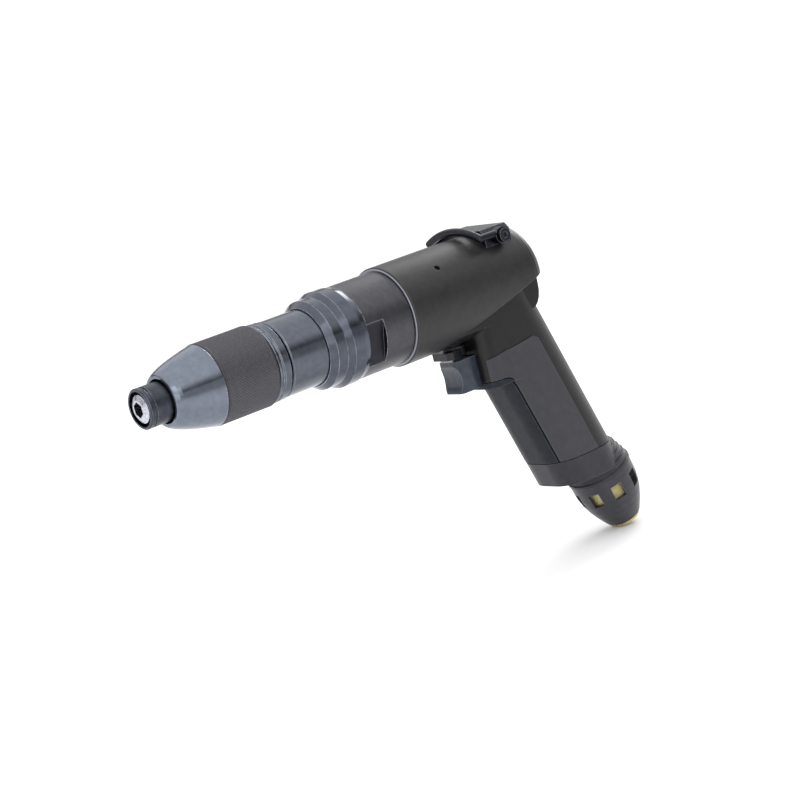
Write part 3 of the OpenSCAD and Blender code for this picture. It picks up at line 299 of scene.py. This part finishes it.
# Parts inside: steel, machined and left bare under oil, a middle grey with a dull shine
machined = dict(ground, dark="#7d7e84", light="#9a9ba2", edge="#b9bac2", roughness=(0.3, 0.45))
surfaces["inner"] = turnedMetal("machinedSteel", machined)

# Inlet bushing and small fittings: brass, turned, warm pale gold
brass = dict(ground, dark="#b8a566", light="#dccf97", edge="#ece2b4", roughness=(0.22, 0.35))
surfaces["turnedBrass"] = turnedMetal("turnedBrass", brass)

# Torque sleeve: steel, knurled and blackened in oil, matt dark grey and a little brighter on the points
knurled = {
    "dark": "#424247",
    "light": "#6b6a70",
    "metallic": 0.9,
    "roughness": (0.42, 0.62),
    "cloudSize": 1.8,
    "cloudDetail": 5.0,
    "cloudRoughness": 0.65,
    "cloudSpan": (0.3, 0.7),
    "cloudStain": 0.4,
    "pointSpan": (0.46, 0.56),
    "pointWear": 0.6,
}
surfaces["knurled"] = knurledMetal("knurledSteel", knurled)

# Housing: aluminium, cast and coated in fine black powder, with broad broken highlights
coated = {
    "dark": "#201e20",
    "light": "#292729",
    "edge": "#4a484b",
    "edgeWidth": 0.6,
    "roughness": (0.34, 0.46),
    "specular": 0.36,
    "grain": 0.4,  # the real coat has a grain of about 0.2 mm, drawn coarser so that it shows
    "grainHeight": 0.07,
    "grainDetail": 3.0,
    "grainRoughness": 0.6,
    "grainSpan": (0.3, 0.7),
    "bumpStrength": 0.8,
    "cloudSize": 4.4,
    "cloudDetail": 4.0,
    "cloudRoughness": 0.6,
    "cloudSpan": (0.32, 0.7),
}
surfaces["coat"] = grainedSurface("powderCoatedAluminium", coated)

# Side panels: glass-filled nylon, moulded with a spark-eroded grain, matt dark grey
moulded = dict(coated, dark="#313136", light="#36363c", edge="#55555c", edgeWidth=0.5, cloudSize=3.6,
               roughness=(0.42, 0.55), specular=0.4, grainHeight=0.06)
moulded["grain"] = 0.35  # real mouldings have a grain of about 0.1 mm, drawn coarser so that it shows
surfaces["panel"] = grainedSurface("grainedNylon", moulded)

# Front grip strap: nylon, moulded smooth and matt, blue-black with a painted highlight along its bend
strap = dict(moulded, dark="#1f2127", light="#272a31", edge="#4a5260", roughness=(0.36, 0.48),
             specular=0.16)
surfaces["grip"] = grainedSurface("mouldedNylon", strap)

# Base collar: nylon, moulded half matt, black
base = dict(moulded, dark="#1f1f24", light="#29292f", edge="#4c4c55", roughness=(0.3, 0.42))
surfaces["base"] = grainedSurface("halfMattNylon", base)

# Exhaust deflector: nylon, moulded in a smooth tool, greyer and with a soft shine
deflector = dict(moulded, dark="#2b2b31", light="#35353c", edge="#585862", roughness=(0.28, 0.4))
surfaces["deflector"] = grainedSurface("smoothNylon", deflector)

# Trigger: acetal, moulded and polished, smooth blue-black with clear highlights
trigger = dict(moulded, dark="#2a2f38", light="#353c48", edge="#6d7788", roughness=(0.16, 0.24),
               grainHeight=0.006)
surfaces["trigger"] = grainedSurface("polishedAcetal", trigger)

# Reverse lever: acetal, moulded, deep black with a low shine
lever = dict(moulded, dark="#0c0d12", light="#15171e", edge="#262a33", roughness=(0.28, 0.4),
             grainHeight=0.008)
surfaces["lever"] = grainedSurface("mouldedAcetal", lever)

# Motor vanes: cotton laminate, sawn and ground, plain brown
vanes = dict(moulded, dark="#5b3f28", light="#7a583a")
surfaces["vanes"] = grainedSurface("sawnCottonLaminate", vanes)

# Silencer: brass, sintered from small balls, pale gold grains with darker pores between them
sintered = {
    "dark": "#e2cf80",
    "light": "#fff6cc",
    "metallic": 0.25,
    "roughness": 0.42,
    "grain": 0.12,
    "grainHeight": 0.12,
    "bumpStrength": 0.9,
    "poreSpan": (0.15, 0.75),
}
surfaces["sintered"] = sinteredMetal("sinteredBrass", sintered)
print("materials made")


def slab(tree, coords, normal, start, end, blur):
    # 1 between two planes square to a direction, measured in mm from the origin
    scaled = [n / mm for n in normal]
    place = addNode(tree, "VectorMath", {"operation": "DOT_PRODUCT"}, i0=coords, i1=scaled).outputs["Value"]
    rise = addNode(tree, "MapRange", Value=place, From_Min=start - blur,
                   From_Max=start + blur).outputs["Result"]
    fall = addNode(tree, "MapRange", Value=place, From_Min=end + blur,
                   From_Max=end - blur).outputs["Result"]
    return addNode(tree, "Math", {"operation": "MULTIPLY"}, i0=rise, i1=fall).outputs["Value"]


# Housing: the front edge is turned bare, and neck and handle below the crease are darkened with painted
# shade
housingShadeAndFinish = {
    "rim": "#8b8e98",
    "rimWidth": 0.4,
    "rimLead": 1,
    "rimBlur": 0.05,
    # colour of the painted shade on neck and handle
    "neck": "#8c8c90",
    "neckNormal": (0.3090, 0, -0.9511),  # down the handle, which is raked by 18 degrees
    "neckStart": 68.95,
    "neckEnd": 400,
    "neckBlur": 0.1,
}


def finishAndShadeHousing(surface, look):
    tree = surface.node_tree
    shader = tree.nodes["Principled BSDF"]
    coords = addNode(tree, "TexCoord").outputs["Object"]
    coat = shader.inputs["Base Color"].links[0].from_socket
    neck = slab(tree, coords, look["neckNormal"], look["neckStart"], look["neckEnd"], look["neckBlur"])
    # painted shade: neck and handle below the crease are darkened
    neckShaded = addNode(tree, "MixRGB", {"blend_type": "MULTIPLY"}, Fac=neck, Color1=coat,
                  Color2=toLinear(look["neck"])).outputs["Color"]
    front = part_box("pistol_housing")[0][0] / mm
    rim = slab(tree, coords, (1, 0, 0), front - look["rimLead"], front + look["rimWidth"], look["rimBlur"])
    bare = addNode(tree, "MixRGB", Fac=rim, Color1=neckShaded, Color2=toLinear(look["rim"])).outputs["Color"]
    tree.links.new(bare, shader.inputs["Base Color"])
    tree.links.new(rim, shader.inputs["Metallic"])


# Motor casing: the wrench flats are milled and stay duller than the turned round; their darker colour is
# painted shade
flatShadeAndFinish = {
    "shade": "#b4b4ba",
    "roughness": 0.5,
    "depths": (0.15, 0.225),  # below the turned round, where the milled look starts and where it is full
}


def shadeAndFinishCasing(surface, look):
    tree = surface.node_tree
    shader = tree.nodes["Principled BSDF"]
    coords = addNode(tree, "TexCoord").outputs["Object"]
    outward = addNode(tree, "VectorMath", {"operation": "MULTIPLY"}, i0=coords, i1=(0, 1, 1))
    radius = addNode(tree, "VectorMath", {"operation": "LENGTH"}, i0=outward.outputs["Vector"])
    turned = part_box("motor_casing")[1][2]
    start, full = look["depths"]
    milled = addNode(tree, "MapRange", Value=radius.outputs["Value"], From_Min=turned - start * mm,
                     From_Max=turned - full * mm).outputs["Result"]
    black = shader.inputs["Base Color"].links[0].from_socket
    # painted shade: the milled flats are darkened
    flatShaded = addNode(tree, "MixRGB", {"blend_type": "MULTIPLY"}, Fac=milled, Color1=black,
                   Color2=toLinear(look["shade"])).outputs["Color"]
    tree.links.new(flatShaded, shader.inputs["Base Color"])
    turnedRoughness = shader.inputs["Roughness"].links[0].from_socket
    milledRoughness = addNode(tree, "Math", {"operation": "MULTIPLY"}, i0=milled, i1=look["roughness"])
    rough = addNode(tree, "Math", {"operation": "MAXIMUM"}, i0=milledRoughness.outputs["Value"],
                    i1=turnedRoughness).outputs["Value"]
    tree.links.new(rough, shader.inputs["Roughness"])


finishAndShadeHousing(surfaces["coat"], housingShadeAndFinish)
shadeAndFinishCasing(surfaces["casing"], flatShadeAndFinish)
print("housing and casing finished")

surfaceOfSlot = {
    "burnished_steel": "burnished",
    "casing_steel": "casing",
    "knurled_steel": "knurled",
    "black_sleeve": "sleeve",
    "bright_steel": "bright",
    "inner_steel": "inner",
    "housing_coat": "coat",
    "grip_moulding": "grip",
    "panel_moulding": "panel",
    "trigger_moulding": "trigger",
    "lever_moulding": "lever",
    "base_moulding": "base",
    "brass": "turnedBrass",
    "vane_laminate": "vanes",
}
surfaceOfNode = {
    "silencer": "sintered",
    "nose_cover": "nose",
    "coupling_collar": "collar",
    "suspension_bail": "hanger",
    "hanger_bracket": "hanger",
    "bail_screws": "hanger",
    "exhaust_deflector": "deflector",
}


def dressNode(name, slotName):
    # a node with a surface of its own keeps it, and every other takes that of its slot
    node = nodes[name]
    surface = surfaces[surfaceOfNode.get(name, surfaceOfSlot[slotName])]
    if not node.material_slots:
        node.data.materials.append(surface)
    for slot in node.material_slots:
        slot.material = surface


for part in frame["record"]["subparts"]:
    dressNode(part["node"], part["material_slot"])
print("materials assigned")


def newMesh(name, vertices, faces, surface):
    # a smooth mesh object with one material
    data = bpy.data.meshes.new(name)
    data.from_pydata(vertices, [], faces)
    for face in data.polygons:
        face.use_smooth = True
    data.materials.append(surface)
    piece = bpy.data.objects.new(name, data)
    bpy.context.collection.objects.link(piece)
    return piece


# Torque sleeve with its diamond knurl cut into the outside; the lengths are in mm
knurlCut = {
    "pitch": 1.5,
    "depth": 0.3,
    "plainEnd": 1.1,
    "rounding": 0.6,
    "wall": 2.2,
    "steps": 5,
}


def makeTorqueSleeve(cut):
    low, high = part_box("torque_sleeve")
    start, end, outer = low[0], high[0], high[2]
    pitch = cut["pitch"] * mm
    rounding = cut["rounding"] * mm
    bore = outer - cut["wall"] * mm
    knurlStart = start + cut["plainEnd"] * mm
    knurlEnd = end - cut["plainEnd"] * mm
    around = round(2 * math.pi * outer / pitch) * cut["steps"]
    along = round((knurlEnd - knurlStart) / pitch) * cut["steps"]
    rows = [(start, bore, None), (start, outer - rounding, None), (start + rounding, outer, None)]
    for j in range(along + 1):
        rows.append((knurlStart + (knurlEnd - knurlStart) * j / along, outer, j))
    rows += [(end - rounding, outer, None), (end, outer - rounding, None), (end, bore, None)]
    vertices = []
    for x, radius, j in rows:
        for i in range(around):
            r = radius
            if j is not None and 0 < j < along:
                left = abs(((i + j) / cut["steps"]) % 1 - 0.5) * 2
                right = abs(((i - j) / cut["steps"]) % 1 - 0.5) * 2
                r -= cut["depth"] * mm * max(left, right) ** 2
            angle = 2 * math.pi * i / around
            vertices.append((x, r * math.cos(angle), r * math.sin(angle)))
    faces = []
    for j in range(len(rows)):
        here = j * around
        after = (j + 1) % len(rows) * around
        for i in range(around):
            beside = (i + 1) % around
            faces.append((here + i, after + i, after + beside, here + beside))
    sleeve = newMesh("torqueSleeveKnurled", vertices, faces, surfaces["knurled"])
    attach(sleeve, "torque_ring")
    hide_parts("torque_sleeve")


makeTorqueSleeve(knurlCut)
print("torque sleeve knurled")


# Pale paper under and round the tool, a bright sky overhead and two soft lamps; the lengths are in metres
studio = {
    "middle": (0.13, 0),
    "aim": (0.13, 0, -0.03),
    "floorGap": 0.0005,
    "flat": 1.4,
    "bendRadius": 4.0,
    "slope": 14,  # degrees
    "run": 14.0,
    "steps": 12,
    "around": 96,
    "paper": "#fafafa",
    "shade": "#b8b8b8",
    "shadeFrom": 0.26,
    "shadeTo": 1.2,
    "paperRoughness": 0.9,
    "sky": "#ffffff",
    "skyLow": 0.18,
    "skyHigh": 1.4,
    "skyFrom": 0.22,
    "skyTo": 0.6,
    "key": {"place": (-0.9, -0.9, 0.35), "size": 1.3, "power": 5},
    "rim": {"place": (1.0, 0.35, 0.45), "size": 0.6, "power": 4},
}


def mattPaper(look):
    # paper, pressed matt; it falls into light shade on the near side, which keeps the tool's side dark
    material, tree, shader, coords = newSurface("mattPaper", Roughness=look["paperRoughness"])
    near = addNode(tree, "VectorMath", {"operation": "DOT_PRODUCT"}, i0=coords, i1=(0, -1, 0))
    shade = addNode(tree, "MapRange", Value=near.outputs["Value"], From_Min=look["shadeFrom"],
                    From_Max=look["shadeTo"]).outputs["Result"]
    colour = addNode(tree, "MixRGB", Fac=shade, Color1=toLinear(look["paper"]),
                     Color2=toLinear(look["shade"])).outputs["Color"]
    tree.links.new(colour, shader.inputs["Base Color"])
    return material


def makeSweep(look):
    # a shallow round bowl: flat under the tool, then a bend and a long slope
    middle = Vector((*look["middle"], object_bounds()[0][2] - look["floorGap"]))
    radius = look["bendRadius"]
    slope = math.radians(look["slope"])
    line = [(look["flat"], 0)]
    for step in range(1, look["steps"] + 1):
        angle = slope * step / look["steps"]
        line.append((look["flat"] + radius * math.sin(angle), radius * (1 - math.cos(angle))))
    bendOut, bendUp = line[-1]
    line.append((bendOut + look["run"] * math.cos(slope), bendUp + look["run"] * math.sin(slope)))
    around = look["around"]
    vertices = [middle]
    for out, up in line:
        for k in range(around):
            turn = 2 * math.pi * k / around
            vertices.append(middle + Vector((out * math.cos(turn), out * math.sin(turn), up)))
    faces = [(0, 1 + k, 1 + (k + 1) % around) for k in range(around)]
    for ring in range(len(line) - 1):
        inner = 1 + ring * around
        outer = inner + around
        for k in range(around):
            after = (k + 1) % around
            faces.append((inner + k, outer + k, outer + after, inner + after))
    newMesh("paperSweep", vertices, faces, mattPaper(look))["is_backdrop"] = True


def makeLight(name, light, aim):
    # a round soft lamp turned to the aim; the camera doesn't see the lamp itself
    data = bpy.data.lights.new(name, "AREA")
    data.shape = "DISK"
    data.size = light["size"]
    data.energy = light["power"]
    lamp = bpy.data.objects.new(name, data)
    lamp.location = light["place"]
    lamp.visible_camera = False
    lamp.rotation_euler = (Vector(aim) - Vector(light["place"])).to_track_quat("-Z", "Y").to_euler()
    bpy.context.collection.objects.link(lamp)


def makeSky(look):
    # white overhead, falling off to a dim grey at the sides
    world = bpy.data.worlds.new("studioSky")
    world.use_nodes = True
    tree = world.node_tree
    direction = addNode(tree, "TexCoord").outputs["Generated"]
    height = addNode(tree, "SeparateXYZ", Vector=direction).outputs["Z"]
    level = addNode(tree, "MapRange", {"interpolation_type": "SMOOTHSTEP"}, Value=height,
                    From_Min=look["skyFrom"], From_Max=look["skyTo"], To_Min=look["skyLow"],
                    To_Max=look["skyHigh"]).outputs["Result"]
    background = tree.nodes["Background"]
    background.inputs["Color"].default_value = toLinear(look["sky"])
    tree.links.new(level, background.inputs["Strength"])
    bpy.context.scene.world = world


makeSweep(studio)
for lightName in ("key", "rim"):
    makeLight(lightName + "Light", studio[lightName], studio["aim"])
makeSky(studio)
bpy.context.scene.view_settings.view_transform = "Standard"
print("studio lit")
